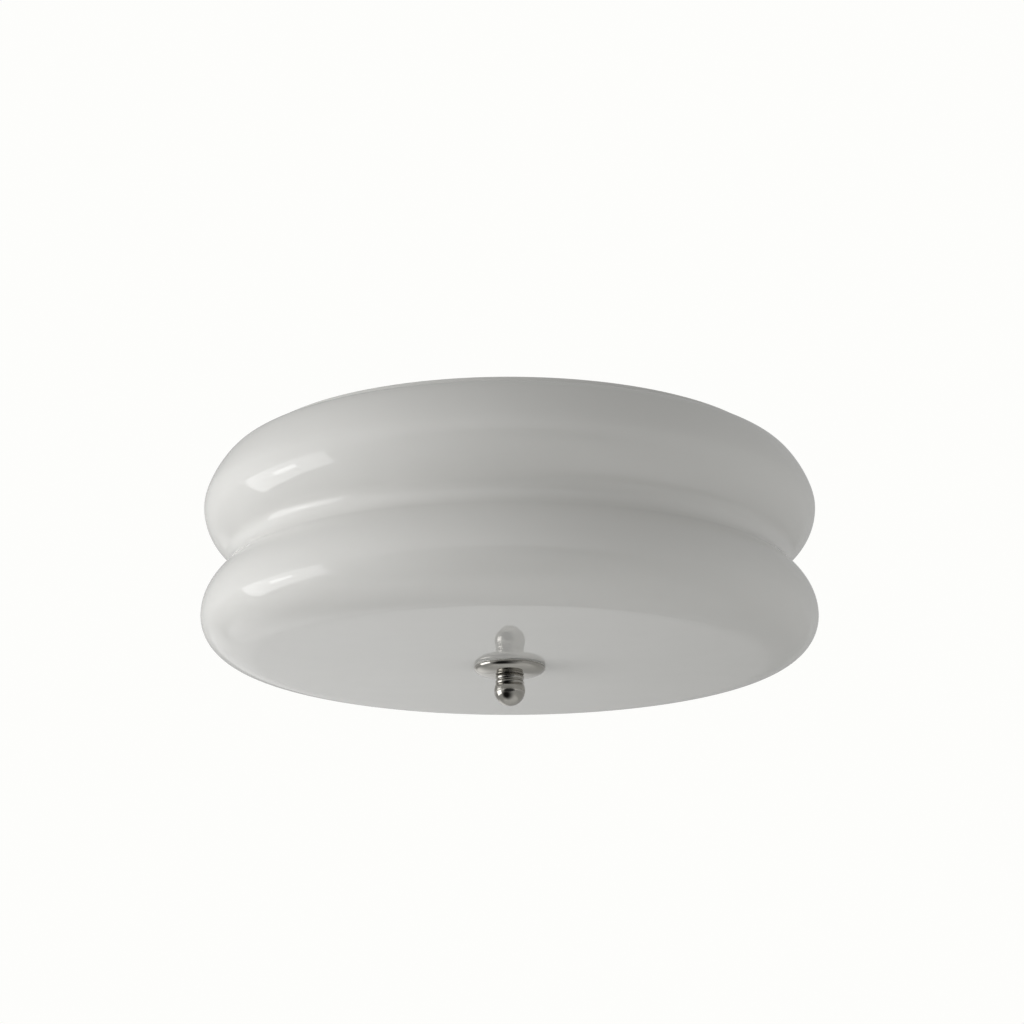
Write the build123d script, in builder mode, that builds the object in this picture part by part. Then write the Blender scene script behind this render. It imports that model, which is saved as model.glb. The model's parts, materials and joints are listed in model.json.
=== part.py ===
from build123d import *
from math import acos, cos, degrees, radians, sin
import os

os.makedirs("parts", exist_ok=True)

# Flush mount ceiling light, millimetres.
# Origin: centre of the ceiling plane. +Z points up into the ceiling, the light hangs below z = 0.
# Pieces are named as a person would name them when the light lies in pieces on a bench.

# ---- driving dimensions -------------------------------------------------------------------------

# Glass shade: outline of the outer surface, radii from the lamp's axis, heights below the ceiling
glass_wall = 3.0
neck_radius = 155.6
neck_foot_radius = 156.5
neck_height = 5.0
shoulder_radius = 162.0
shoulder_fullness = 0.338
upper_bulge_radius = 178.4
upper_bulge_z = -32.6
upper_bulge_depth = 32.9
waist_radius = 152.0
waist_z = -63.0
waist_fillet = 9.0
lower_bulge_radius = 178.0
lower_bulge_z = -96.8
lower_bulge_depth = 61.0
base_radius = 144.4
base_z = -121.8
base_fullness = 0.589
neck_foot_fillet = 1.5
glass_hole_radius = 7.0
rim_rounding = 0.4  # share of a sheet's thickness that a rounded rim takes from each side

# Centre rod, M10 x 1 lamp tube
rod_radius = 5.0
rod_bore_radius = 3.3
rod_top_z = -15.0
rod_engagement = 10.5
rod_clearance = 0.05
rod_chamfer = 0.5

# Check ring and finial under the glass
washer_thickness = 0.5
washer_radius = 20.0
face_gap = 0.1
ring_radius = 20.7
ring_wall_height = 1.1
ring_depth = 5.4
ring_seat_radius = 8.0
ring_fullness = 0.62
ring_sheet = 0.9
finial_neck_radius = 8.3
finial_groove_radius = 7.5
finial_bead_height = 2.3
finial_groove_height = 0.5
ball_radius = 8.95
ball_drop = 14.7
finial_bore_depth = 13.0

# Ceiling pan, pressed from sheet
pan_sheet = 1.0
pan_rim_radius = 149.0
pan_rim_height = 7.0
pan_floor_radius = 138.0
pan_depth = 24.0
pan_corner_fillet = 6.0
bead_radius = 100.0
bead_width = 10.0
bead_height = 2.0

# Mounting bracket: a steel strap whose ends step down to leave room for the screw heads
strap_width = 22.0
strap_sheet = 2.0
strap_half_length = 64.0
strap_flat_half_length = 44.0
strap_step = 4.0
slot_spacing = 63.0
slot_length = 20.0
slot_width = 4.8
pan_screw_x = 55.5
m4_radius = 2.0
m3_radius = 1.5
thread_gap = 0.05
hole_gap = 0.3

# Lampholders and bulbs: three, lying flat, pointing outwards from the rod
lamp_angles = (90.0, 210.0, 330.0)
lamp_z = -66.0
tab_inner_radius = 12.0
bracket_sheet = 1.5
tab_width = 22.0
tab_drop = 18.0
holder_screw_offset = 11.0
holder_radius = 19.0
holder_base_radius = 16.5
holder_base_length = 10.0
holder_length = 46.0
holder_cavity_radius = 14.3
holder_floor = 11.0
sleeve_radius = 14.2
sleeve_bore_radius = 13.45
sleeve_setback = 5.0
bulb_cap_radius = 13.15
bulb_cap_wall = 0.5
bulb_cap_start = 5.4
bulb_cap_end = 26.4
bulb_tip_s = 13.1
bulb_length = 78.0
bulb_radius = 22.5
bulb_neck_radius = 12.6
bulb_wall = 1.0

# Terminal block: three poles side by side under the pan
pole_pitch = 10.0
pole_count = 3
block_centre_y = -62.0
block_width = 17.0
block_base_height = 8.0
block_height = 15.0
grommet_y = -34.0
grommet_hole_radius = 8.0

# ---- values worked out from them ----------------------------------------------------------------

pan_floor_top_z = -pan_depth + pan_sheet
ring_rim_z = base_z - face_gap - washer_thickness
ring_seat_z = ring_rim_z - ring_depth
finial_top_z = ring_seat_z - face_gap
ball_z = base_z - ball_drop
rod_bottom_z = finial_top_z - rod_engagement
tab_outer_radius = tab_inner_radius + bracket_sheet


def save(piece, label):
    """Name a finished piece and write it as its own file."""
    piece.label = label
    export_step(piece, f"parts/{label}.step")


def falling_quarter(start, end, fullness):
    """Rounded quarter that leaves `start` level and reaches `end` upright."""
    (r0, z0), (r1, z1) = start, end
    level_handle = (r0 + fullness * (r1 - r0), z0)
    upright_handle = (r1, z1 + fullness * (z0 - z1))
    return Bezier(start, level_handle, upright_handle, end)


def turning_under(start, end, fullness):
    """Rounded quarter that leaves `start` upright and reaches `end` level."""
    (r0, z0), (r1, z1) = start, end
    upright_handle = (r0, z0 + fullness * (z1 - z0))
    level_handle = (r1 + fullness * (r0 - r1), z1)
    return Bezier(start, upright_handle, level_handle, end)


def arc_to_waist(bulge_radius, bulge_z, depth):
    """Elliptical arc from the widest point of a bulge to the waist crease."""
    centre_radius = bulge_radius - depth
    angle = acos((waist_radius - centre_radius) / depth)
    half_height = abs(waist_z - bulge_z) / sin(angle)
    turn = degrees(angle) if waist_z > bulge_z else -degrees(angle)
    return EllipticalCenterArc((centre_radius, bulge_z), depth, half_height, 0, arc_size=turn)


def lamp_plane(angle, s=0.0):
    """Plane across a lamp's axis, s outwards from the lampholder's back, local Y up."""
    outward = Vector(cos(radians(angle)), sin(radians(angle)), 0)
    across = Vector(-sin(radians(angle)), cos(radians(angle)), 0)
    centre = outward * (tab_outer_radius + s) + Vector(0, 0, lamp_z)
    return Plane(origin=centre, x_dir=across, z_dir=outward)


def lamp_profile_plane(angle):
    """Upright plane through a lamp's axis: local X runs outwards along it, local Y up."""
    outward = Vector(cos(radians(angle)), sin(radians(angle)), 0)
    sideways = Vector(sin(radians(angle)), -cos(radians(angle)), 0)
    centre = outward * tab_outer_radius + Vector(0, 0, lamp_z)
    return Plane(origin=centre, x_dir=outward, z_dir=sideways)


def lamp_axis(angle):
    """A lamp's axis, from the lampholder's back outwards."""
    plane = lamp_plane(angle)
    return Axis(origin=plane.origin, direction=plane.z_dir)


# ---- glass shade --------------------------------------------------------------------------------
# One blown wall of even thickness: low neck, dropped shoulder, upper bulge, waist crease,
# lower bulge, and a base that turns under into the flat bottom.

with BuildPart() as glass_shade:
    with BuildSketch(Plane.XZ):
        with BuildLine() as outline:
            Line((neck_radius, 0), (neck_foot_radius, -neck_height))
            Line((neck_foot_radius, -neck_height), (shoulder_radius, -neck_height))
            falling_quarter(
                (shoulder_radius, -neck_height),
                (upper_bulge_radius, upper_bulge_z),
                shoulder_fullness,
            )
            arc_to_waist(upper_bulge_radius, upper_bulge_z, upper_bulge_depth)
            arc_to_waist(lower_bulge_radius, lower_bulge_z, lower_bulge_depth)
            turning_under(
                (lower_bulge_radius, lower_bulge_z), (base_radius, base_z), base_fullness
            )
            Line((base_radius, base_z), (0, base_z))
            for corner, size in (
                ((neck_foot_radius, -neck_height), neck_foot_fillet),
                ((waist_radius, waist_z), waist_fillet),
            ):
                fillet(outline.vertices().sort_by_distance(corner)[0], size)
            Polyline((0, base_z), (0, 0), (neck_radius, 0))
        make_face()
    revolve(axis=Axis.Z)
    mouth = glass_shade.faces().filter_by(Plane.XY).sort_by(Axis.Z)[-1]
    offset(amount=-glass_wall, openings=mouth)
    with Locations((0, 0, base_z)):
        Hole(glass_hole_radius, depth=2 * glass_wall)
    rim = glass_shade.faces().filter_by(Plane.XY).sort_by(Axis.Z)[-1]
    fillet(rim.edges(), rim_rounding * glass_wall)
save(glass_shade.part, "glass_shade")

# Soft bush that sits in the hole of the glass and keeps the rod off its edge
bush_flange_radius = 12.0
bush_flange_thickness = 1.5
bush_flange_rounding = 0.6
bush_bore_radius = rod_radius + 0.4
with BuildPart() as hole_bush:
    with BuildSketch(Plane.XY.offset(base_z)):
        Circle(glass_hole_radius - face_gap)
    extrude(amount=glass_wall)
    with BuildSketch(Plane.XY.offset(base_z + glass_wall)):
        Circle(bush_flange_radius)
    extrude(amount=bush_flange_thickness)
    fillet(hole_bush.edges().group_by(Axis.Z)[-1], bush_flange_rounding)
    with BuildSketch(Plane.XY.offset(base_z)):
        Circle(bush_bore_radius)
    extrude(amount=glass_wall + bush_flange_thickness, mode=Mode.SUBTRACT)
save(hole_bush.part, "hole_bush")

# ---- check ring and finial ----------------------------------------------------------------------

# Soft washer between the glass and the check ring
washer_hole_radius = 6.4
with BuildPart() as seat_washer:
    with BuildSketch(Plane.XY.offset(ring_rim_z)):
        Circle(washer_radius)
        Circle(washer_hole_radius, mode=Mode.SUBTRACT)
    extrude(amount=washer_thickness)
save(seat_washer.part, "seat_washer")

# Check ring: a spun saucer with an upright edge, a round shoulder and a flat seat for the finial
ring_shoulder_z = ring_rim_z - ring_wall_height
with BuildPart() as check_ring:
    with BuildSketch(Plane.XZ):
        with BuildLine():
            Polyline((0, ring_rim_z), (ring_radius, ring_rim_z), (ring_radius, ring_shoulder_z))
            turning_under(
                (ring_radius, ring_shoulder_z), (ring_seat_radius, ring_seat_z), ring_fullness
            )
            Polyline((ring_seat_radius, ring_seat_z), (0, ring_seat_z), (0, ring_rim_z))
        make_face()
    revolve(axis=Axis.Z)
    saucer_mouth = check_ring.faces().filter_by(Plane.XY).sort_by(Axis.Z)[-1]
    offset(amount=-ring_sheet, openings=saucer_mouth)
    with Locations((0, 0, ring_seat_z)):
        Hole(rod_radius + hole_gap, depth=2 * ring_sheet)
    lip = check_ring.faces().filter_by(Plane.XY).sort_by(Axis.Z)[-1]
    fillet(lip.edges(), rim_rounding * ring_sheet)
save(check_ring.part, "check_ring")

# Finial: two beads with a groove between them, turned in one piece with the ball and bored blind
bead_bulge = 0.4
upper_bead_bottom = finial_top_z - finial_bead_height
lower_bead_top = upper_bead_bottom - finial_groove_height
lower_bead_bottom = lower_bead_top - finial_bead_height
ball_top_drop = (ball_radius**2 - finial_groove_radius**2) ** 0.5
with BuildPart() as finial:
    with BuildSketch(Plane.XZ):
        with BuildLine():
            bead_edge_radius = finial_neck_radius - bead_bulge
            Line((0, finial_top_z), (bead_edge_radius, finial_top_z))
            SagittaArc(
                (bead_edge_radius, finial_top_z), (bead_edge_radius, upper_bead_bottom), bead_bulge
            )
            Polyline(
                (bead_edge_radius, upper_bead_bottom),
                (finial_groove_radius, upper_bead_bottom),
                (finial_groove_radius, lower_bead_top),
                (bead_edge_radius, lower_bead_top),
            )
            SagittaArc(
                (bead_edge_radius, lower_bead_top), (bead_edge_radius, lower_bead_bottom), bead_bulge
            )
            Polyline(
                (bead_edge_radius, lower_bead_bottom),
                (finial_groove_radius, lower_bead_bottom),
                (finial_groove_radius, ball_z + ball_top_drop),
            )
            ThreePointArc(
                (finial_groove_radius, ball_z + ball_top_drop),
                (ball_radius, ball_z),
                (0, ball_z - ball_radius),
            )
            Line((0, ball_z - ball_radius), (0, finial_top_z))
        make_face()
    revolve(axis=Axis.Z)
    with BuildSketch(Plane.XY.offset(finial_top_z)):
        Circle(rod_radius + rod_clearance)
    extrude(amount=-finial_bore_depth, mode=Mode.SUBTRACT)
save(finial.part, "finial")

# ---- ceiling side: bracket, pan and their fasteners ---------------------------------------------

# Mounting bracket: strap with two slots for the ceiling screws, a centre hole, and tapped collars
# for the pan screws in its lowered ends
strap_end_z = -strap_step
strap_corner_radius = 7.7
collar_height = 1.5
collar_radius = 3.6
earth_x, earth_y = 14.0, 5.5
with BuildPart() as mounting_bracket:
    with BuildSketch(Plane.XZ):
        with BuildLine():
            Polyline(
                (-strap_half_length, strap_end_z),
                (-strap_flat_half_length - strap_step, strap_end_z),
                (-strap_flat_half_length, 0),
                (strap_flat_half_length, 0),
                (strap_flat_half_length + strap_step, strap_end_z),
                (strap_half_length, strap_end_z),
            )
            offset(amount=strap_sheet, side=Side.RIGHT)
        make_face()
    extrude(amount=strap_width / 2, both=True)
    end_faces = mounting_bracket.faces().filter_by(Plane.YZ)
    fillet(end_faces.edges().filter_by(Axis.Z), strap_corner_radius)
    with BuildSketch(Plane.XY.offset(strap_end_z - strap_sheet)):
        with Locations((-pan_screw_x, 0), (pan_screw_x, 0)):
            Circle(collar_radius)
    extrude(amount=-collar_height)
    with BuildSketch():
        with GridLocations(slot_spacing, 0, 2, 1):
            SlotOverall(slot_length, slot_width)
        Circle(rod_radius + face_gap)
        with Locations((earth_x, earth_y)):
            Circle(m4_radius + thread_gap)
        with GridLocations(2 * pan_screw_x, 0, 2, 1):
            Circle(m4_radius + thread_gap)
    extrude(amount=-2 * (strap_step + strap_sheet), mode=Mode.SUBTRACT)
save(mounting_bracket.part, "mounting_bracket")

# Pan screws: pan heads rest on the strap's ends, shanks hang down through the pan
pan_head_radius = 3.9
pan_head_height = 2.6
pan_head_rounding = 1.0
thread_chamfer = 0.4
pan_screw_end_z = -33.0
with BuildPart() as pan_screws:
    with BuildSketch(Plane.XY.offset(strap_end_z)):
        with GridLocations(2 * pan_screw_x, 0, 2, 1):
            Circle(pan_head_radius)
    extrude(amount=pan_head_height)
    fillet(pan_screws.edges().group_by(Axis.Z)[-1], pan_head_rounding)
    with BuildSketch(Plane.XY.offset(strap_end_z)):
        with GridLocations(2 * pan_screw_x, 0, 2, 1):
            Circle(m4_radius)
    extrude(amount=pan_screw_end_z - strap_end_z)
    chamfer(pan_screws.edges().group_by(Axis.Z)[0], thread_chamfer)
save(pan_screws.part, "pan_screws")

# Cap nuts: a hexagon foot that clamps the pan and a domed barrel over the screw's end
cap_hex_flats = 10.0
cap_hex_height = 4.0
cap_barrel_radius = 4.4
cap_height = 12.0
cap_dome_rounding = 3.3
cap_end_gap = 0.5
with BuildPart() as cap_nuts:
    with BuildSketch(Plane.XY.offset(-pan_depth)):
        with GridLocations(2 * pan_screw_x, 0, 2, 1):
            RegularPolygon(cap_hex_flats / 2, 6, major_radius=False)
    extrude(amount=-cap_hex_height)
    with BuildSketch(Plane.XY.offset(-pan_depth)):
        with GridLocations(2 * pan_screw_x, 0, 2, 1):
            Circle(cap_barrel_radius)
    extrude(amount=-cap_height)
    fillet(cap_nuts.edges().group_by(Axis.Z)[0], cap_dome_rounding)
    with BuildSketch(Plane.XY.offset(-pan_depth)):
        with GridLocations(2 * pan_screw_x, 0, 2, 1):
            Circle(m4_radius + thread_gap)
    extrude(amount=pan_screw_end_z + pan_depth - cap_end_gap, mode=Mode.SUBTRACT)
save(cap_nuts.part, "cap_nuts")

# Earth screw and its cupped washer, under the strap
earth_head_radius = 3.8
earth_head_rounding = 0.8
earth_washer_radius = 5.0
earth_washer_thickness = 0.8
earth_washer_chamfer = 0.4
with BuildPart() as earth_washer:
    with BuildSketch(Plane.XY.offset(-strap_sheet)):
        with Locations((earth_x, earth_y)):
            Circle(earth_washer_radius)
            Circle(m4_radius + face_gap, mode=Mode.SUBTRACT)
    extrude(amount=-earth_washer_thickness)
    washer_rims = earth_washer.edges().group_by(Axis.Z)
    chamfer(washer_rims[0].sort_by(SortBy.LENGTH)[-1], earth_washer_chamfer)
save(earth_washer.part, "earth_washer")

with BuildPart() as earth_screw:
    with BuildSketch(Plane.XY.offset(-strap_sheet - earth_washer_thickness)):
        with Locations((earth_x, earth_y)):
            Circle(earth_head_radius)
    extrude(amount=-pan_head_height)
    fillet(earth_screw.edges().group_by(Axis.Z)[0], earth_head_rounding)
    with BuildSketch():
        with Locations((earth_x, earth_y)):
            Circle(m4_radius)
    extrude(amount=-strap_sheet - earth_washer_thickness)
save(earth_screw.part, "earth_screw")

# Ceiling pan: pressed dish with an upright rim, a sloping wall and a pressed stiffening bead
bead_inner = bead_radius - bead_width / 2
bead_outer = bead_radius + bead_width / 2
with BuildPart() as ceiling_pan:
    with BuildSketch(Plane.XZ):
        with BuildLine() as pan_outline:
            Polyline((0, 0), (pan_rim_radius, 0), (pan_rim_radius, -pan_rim_height))
            Line((pan_rim_radius, -pan_rim_height), (pan_floor_radius, -pan_depth))
            Line((pan_floor_radius, -pan_depth), (bead_outer, -pan_depth))
            ThreePointArc(
                (bead_outer, -pan_depth),
                (bead_radius, -pan_depth - bead_height),
                (bead_inner, -pan_depth),
            )
            Polyline((bead_inner, -pan_depth), (0, -pan_depth), (0, 0))
            for corner in ((pan_rim_radius, -pan_rim_height), (pan_floor_radius, -pan_depth)):
                fillet(pan_outline.vertices().sort_by_distance(corner)[0], pan_corner_fillet)
        make_face()
    revolve(axis=Axis.Z)
    open_top = ceiling_pan.faces().filter_by(Plane.XY).sort_by(Axis.Z)[-1]
    offset(amount=-pan_sheet, openings=open_top)
    with BuildSketch(Plane.XY.offset(pan_floor_top_z)):
        Circle(rod_radius + face_gap)
        with GridLocations(2 * pan_screw_x, 0, 2, 1):
            Circle(m4_radius + hole_gap)
        with Locations((0, grommet_y)):
            Circle(grommet_hole_radius)
        with Locations((0, block_centre_y)):
            with GridLocations(pole_pitch, 0, 2, 1):
                Circle(m3_radius + thread_gap)
    extrude(amount=-pan_sheet, mode=Mode.SUBTRACT)
save(ceiling_pan.part, "ceiling_pan")

# Foam ring round the pan's rim, which centres the neck of the glass
gasket_top_z = -1.0
gasket_height = 4.0
gasket_outer_radius = 152.3
with BuildPart() as rim_gasket:
    with BuildSketch(Plane.XY.offset(gasket_top_z)):
        Circle(gasket_outer_radius)
        Circle(pan_rim_radius + thread_gap, mode=Mode.SUBTRACT)
    extrude(amount=-gasket_height)
save(rim_gasket.part, "rim_gasket")

# Rubber grommet in the pan's cable hole: two flanges with the pan's floor between them
grommet_flange_radius = 11.0
grommet_flange_thickness = 2.0
grommet_rounding = 0.9
grommet_bore_radius = 5.5
with BuildPart() as cable_grommet:
    with BuildSketch(Plane.XY.offset(-pan_depth - grommet_flange_thickness)):
        with Locations((0, grommet_y)):
            Circle(grommet_flange_radius)
    extrude(amount=grommet_flange_thickness)
    with BuildSketch(Plane.XY.offset(-pan_depth)):
        with Locations((0, grommet_y)):
            Circle(grommet_hole_radius - thread_gap)
    extrude(amount=pan_sheet)
    with BuildSketch(Plane.XY.offset(pan_floor_top_z)):
        with Locations((0, grommet_y)):
            Circle(grommet_flange_radius)
    extrude(amount=grommet_flange_thickness)
    grommet_rims = cable_grommet.edges().group_by(Axis.Z)
    fillet(grommet_rims[0] + grommet_rims[-1], grommet_rounding)
    with Locations((0, grommet_y, pan_floor_top_z)):
        Hole(grommet_bore_radius)
save(cable_grommet.part, "cable_grommet")

# ---- centre rod and what it clamps --------------------------------------------------------------

with BuildPart() as centre_rod:
    with BuildSketch(Plane.XY.offset(rod_bottom_z)):
        Circle(rod_radius)
        Circle(rod_bore_radius, mode=Mode.SUBTRACT)
    extrude(amount=rod_top_z - rod_bottom_z)
    rod_ends = centre_rod.edges().group_by(Axis.Z)
    chamfer(rod_ends[0].sort_by(SortBy.LENGTH)[-1], rod_chamfer)
    chamfer(rod_ends[-1].sort_by(SortBy.LENGTH)[-1], rod_chamfer)
save(centre_rod.part, "centre_rod")

rod_washer_radius = 9.5
rod_washer_thickness = 1.0
bracket_underside_z = -pan_depth - bracket_sheet
washer_floors = (pan_floor_top_z, bracket_underside_z - rod_washer_thickness)
with BuildPart() as rod_washers:
    for floor_z in washer_floors:
        with BuildSketch(Plane.XY.offset(floor_z)):
            Circle(rod_washer_radius)
            Circle(rod_radius + face_gap, mode=Mode.SUBTRACT)
        extrude(amount=rod_washer_thickness)
save(rod_washers.part, "rod_washers")

rod_nut_flats = 14.0
rod_nut_height = 4.0
nut_floors = (
    pan_floor_top_z + rod_washer_thickness,
    bracket_underside_z - rod_washer_thickness - rod_nut_height,
)
with BuildPart() as rod_nuts:
    for floor_z in nut_floors:
        with BuildSketch(Plane.XY.offset(floor_z)):
            RegularPolygon(rod_nut_flats / 2, 6, major_radius=False)
            Circle(rod_radius + thread_gap, mode=Mode.SUBTRACT)
        extrude(amount=rod_nut_height)
save(rod_nuts.part, "rod_nuts")

# Lampholder bracket: three sided hub whose sides turn down into tabs, one behind each lampholder
tab_bottom_z = lamp_z - tab_drop
hub_radius = 17.5
hub_turn = lamp_angles[0] + 60  # turns a flat side of the triangle towards each lampholder
tab_wire_hole_radius = 6.0
tab_corner_radius = 4.0
bend_radius = 1.4
with BuildPart() as lampholder_bracket:
    with BuildSketch(Plane.XY.offset(bracket_underside_z)):
        RegularPolygon(tab_outer_radius, 3, major_radius=False, rotation=hub_turn)
        Circle(hub_radius, mode=Mode.INTERSECT)
        Circle(rod_radius + face_gap, mode=Mode.SUBTRACT)
    extrude(amount=bracket_sheet)
    for angle in lamp_angles:
        with BuildSketch(lamp_plane(angle)):
            with Locations((0, (-pan_depth + tab_bottom_z) / 2 - lamp_z)):
                RectangleRounded(tab_width, -pan_depth - tab_bottom_z, tab_corner_radius)
            with Locations((0, -pan_depth - tab_corner_radius / 2 - lamp_z)):
                Rectangle(tab_width, tab_corner_radius)
        extrude(amount=-bracket_sheet)
    straight_edges = lampholder_bracket.edges().filter_by(GeomType.LINE)
    # The three bends are the longest straight edges round the top
    bend_edges = straight_edges.group_by(Axis.Z)[-1].sort_by(SortBy.LENGTH)[-len(lamp_angles):]
    fillet(bend_edges, bend_radius)
    for angle in lamp_angles:
        with BuildSketch(lamp_plane(angle)):
            Circle(tab_wire_hole_radius)
            with GridLocations(0, 2 * holder_screw_offset, 1, 2):
                Circle(m3_radius + thread_gap)
        extrude(amount=-bracket_sheet, mode=Mode.SUBTRACT)
save(lampholder_bracket.part, "lampholder_bracket")

# Screws that hold each lampholder to its tab, heads on the rod's side
holder_screw_length = 8.0
holder_head_radius = 2.75
holder_head_height = 1.8
with BuildPart() as lampholder_screws:
    for angle in lamp_angles:
        with BuildSketch(lamp_plane(angle, -bracket_sheet)):
            with GridLocations(0, 2 * holder_screw_offset, 1, 2):
                Circle(holder_head_radius)
        extrude(amount=-holder_head_height)
        with BuildSketch(lamp_plane(angle, -bracket_sheet)):
            with GridLocations(0, 2 * holder_screw_offset, 1, 2):
                Circle(m3_radius)
        extrude(amount=holder_screw_length)
save(lampholder_screws.part, "lampholder_screws")


# ---- lampholders --------------------------------------------------------------------------------

holder_cone_length = 3.0
holder_mouth_radius = holder_cavity_radius + 1.2
holder_mouth_s = holder_length - 4.0
holder_base_rounding = 1.5
holder_skirt_rounding = 1.8
holder_mouth_rounding = 1.0
lead_hole_radius = 2.0
lead_hole_spacing = 14.0


def lampholder(angle, number):
    """Ceramic body: narrow base with the wire holes, wide skirt round the threaded sleeve."""
    with BuildPart() as body:
        with BuildSketch(lamp_profile_plane(angle)):
            with BuildLine() as section_line:
                Polyline(
                    (0, 0),
                    (0, holder_base_radius),
                    (holder_base_length, holder_base_radius),
                    (holder_base_length + holder_cone_length, holder_radius),
                    (holder_length, holder_radius),
                    (holder_length, holder_mouth_radius),
                    (holder_mouth_s, holder_mouth_radius),
                    (holder_mouth_s, holder_cavity_radius),
                    (holder_floor, holder_cavity_radius),
                    (holder_floor, 0),
                    (0, 0),
                )
                for corner, size in (
                    ((0, holder_base_radius), holder_base_rounding),
                    ((holder_length, holder_radius), holder_skirt_rounding),
                    ((holder_length, holder_mouth_radius), holder_mouth_rounding),
                ):
                    fillet(section_line.vertices().sort_by_distance(corner)[0], size)
            make_face()
        revolve(axis=lamp_axis(angle))
        with BuildSketch(lamp_plane(angle)):
            with GridLocations(lead_hole_spacing, 0, 2, 1):
                Circle(lead_hole_radius)
        extrude(amount=holder_floor, mode=Mode.SUBTRACT)
        with BuildSketch(lamp_plane(angle)):
            with GridLocations(0, 2 * holder_screw_offset, 1, 2):
                Circle(m3_radius + thread_gap)
        extrude(amount=holder_screw_length, mode=Mode.SUBTRACT)
    save(body.part, f"lampholder_{number}")


def lampholder_sleeve(angle, number):
    """Threaded sleeve that the lamp cap screws into."""
    with BuildPart() as sleeve:
        with BuildSketch(lamp_plane(angle, holder_floor)):
            Circle(sleeve_radius)
            Circle(sleeve_bore_radius, mode=Mode.SUBTRACT)
        extrude(amount=holder_length - sleeve_setback - holder_floor)
    save(sleeve.part, f"lampholder_sleeve_{number}")


contact_width = 5.0
contact_sheet = 0.4
contact_play = 0.6
contact_foot_end = -9.0
contact_foot_bend = -5.0
contact_pad_half = 1.5
contact_free_end = 4.5


def lampholder_contact(angle, number):
    """Centre contact: a springy strip fixed at one end and raised under the bulb's tip."""
    with BuildPart() as contact:
        with BuildSketch(lamp_profile_plane(angle)):
            with BuildLine():
                Polyline(
                    (holder_floor, contact_foot_end),
                    (holder_floor, contact_foot_bend),
                    (bulb_tip_s - contact_play, -contact_pad_half),
                    (bulb_tip_s - contact_play, contact_pad_half),
                    (holder_floor + contact_play, contact_free_end),
                )
                offset(amount=contact_sheet, side=Side.RIGHT)
            make_face()
        extrude(amount=contact_width / 2, both=True)
    save(contact.part, f"lampholder_contact_{number}")


# ---- bulbs --------------------------------------------------------------------------------------

bulb_crown_s = bulb_tip_s + bulb_length
bulb_centre_s = bulb_crown_s - bulb_radius
cap_bottom_s = bulb_tip_s + bulb_cap_start
cap_mouth_s = bulb_tip_s + bulb_cap_end
cap_edge_chamfer = 0.4
neck_above_cap = 2.5
neck_in_cap = 3.0
bulb_neck_s = cap_mouth_s + neck_above_cap
tip_height = 1.0
tip_radius = 4.5
tip_rounding = 0.6
insulator_tip_radius = 5.5
insulator_rim_radius = 11.5
# The bulb's shoulder is an arc tangent to its neck and to its ball
shoulder_reach = bulb_centre_s - bulb_neck_s
shoulder_arc = (shoulder_reach**2 - bulb_radius**2 + bulb_neck_radius**2) / (
    2 * (bulb_radius - bulb_neck_radius)
)


def bulb_outline(inset):
    """Half outline of the bulb's glass from its neck to its crown, inset by a wall thickness."""
    neck = bulb_neck_radius - inset
    ball = bulb_radius - inset
    arc = shoulder_arc + inset
    # Point where the shoulder arc meets the ball, on the line between their centres
    centre_distance = ball + arc
    touch_s = bulb_centre_s - shoulder_reach * ball / centre_distance
    touch_r = (neck + arc) * ball / centre_distance
    return neck, ball, arc, touch_s, touch_r


def bulb_glass(angle, number):
    """Blown envelope, open at the neck where the cap is cemented on."""
    neck_s = cap_mouth_s - neck_in_cap
    with BuildPart() as envelope:
        with BuildSketch(lamp_profile_plane(angle)):
            with BuildLine():
                for inset in (0, bulb_wall):
                    neck, ball, arc, touch_s, touch_r = bulb_outline(inset)
                    Line((neck_s, neck), (bulb_neck_s, neck))
                    RadiusArc((bulb_neck_s, neck), (touch_s, touch_r), arc)
                    crown = (bulb_centre_s + ball, 0)
                    top = (bulb_centre_s, ball)
                    ThreePointArc((touch_s, touch_r), top, crown)
                Line((neck_s, bulb_neck_radius), (neck_s, bulb_neck_radius - bulb_wall))
                Line((bulb_crown_s, 0), (bulb_crown_s - bulb_wall, 0))
            make_face()
        revolve(axis=lamp_axis(angle))
    save(envelope.part, f"bulb_glass_{number}")


def bulb_cap(angle, number):
    """Screw cap: a metal cup over the bulb's neck."""
    with BuildPart() as cap:
        with BuildSketch(lamp_plane(angle, cap_bottom_s)):
            Circle(bulb_cap_radius)
        extrude(amount=cap_mouth_s - cap_bottom_s)
        with BuildSketch(lamp_plane(angle, cap_bottom_s + bulb_cap_wall)):
            Circle(bulb_cap_radius - bulb_cap_wall)
        extrude(amount=cap_mouth_s - cap_bottom_s - bulb_cap_wall, mode=Mode.SUBTRACT)
        chamfer(cap.edges().group_by(lamp_axis(angle))[0], cap_edge_chamfer)
    save(cap.part, f"bulb_cap_{number}")


def bulb_insulator(angle, number):
    """Glass insulator that closes the cap, tapering towards the tip."""
    with BuildPart() as insulator:
        with BuildSketch(lamp_profile_plane(angle)):
            with BuildLine():
                Polyline(
                    (bulb_tip_s + tip_height, 0),
                    (bulb_tip_s + tip_height, insulator_tip_radius),
                    (cap_bottom_s, insulator_rim_radius),
                    (cap_bottom_s, 0),
                    close=True,
                )
            make_face()
        revolve(axis=lamp_axis(angle))
    save(insulator.part, f"bulb_insulator_{number}")


def bulb_contact(angle, number):
    """Round tip contact of the bulb."""
    with BuildPart() as tip:
        with BuildSketch(lamp_plane(angle, bulb_tip_s + tip_height)):
            Circle(tip_radius)
        extrude(amount=-tip_height)
        fillet(tip.edges().group_by(lamp_axis(angle))[0], tip_rounding)
    save(tip.part, f"bulb_contact_{number}")


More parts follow.
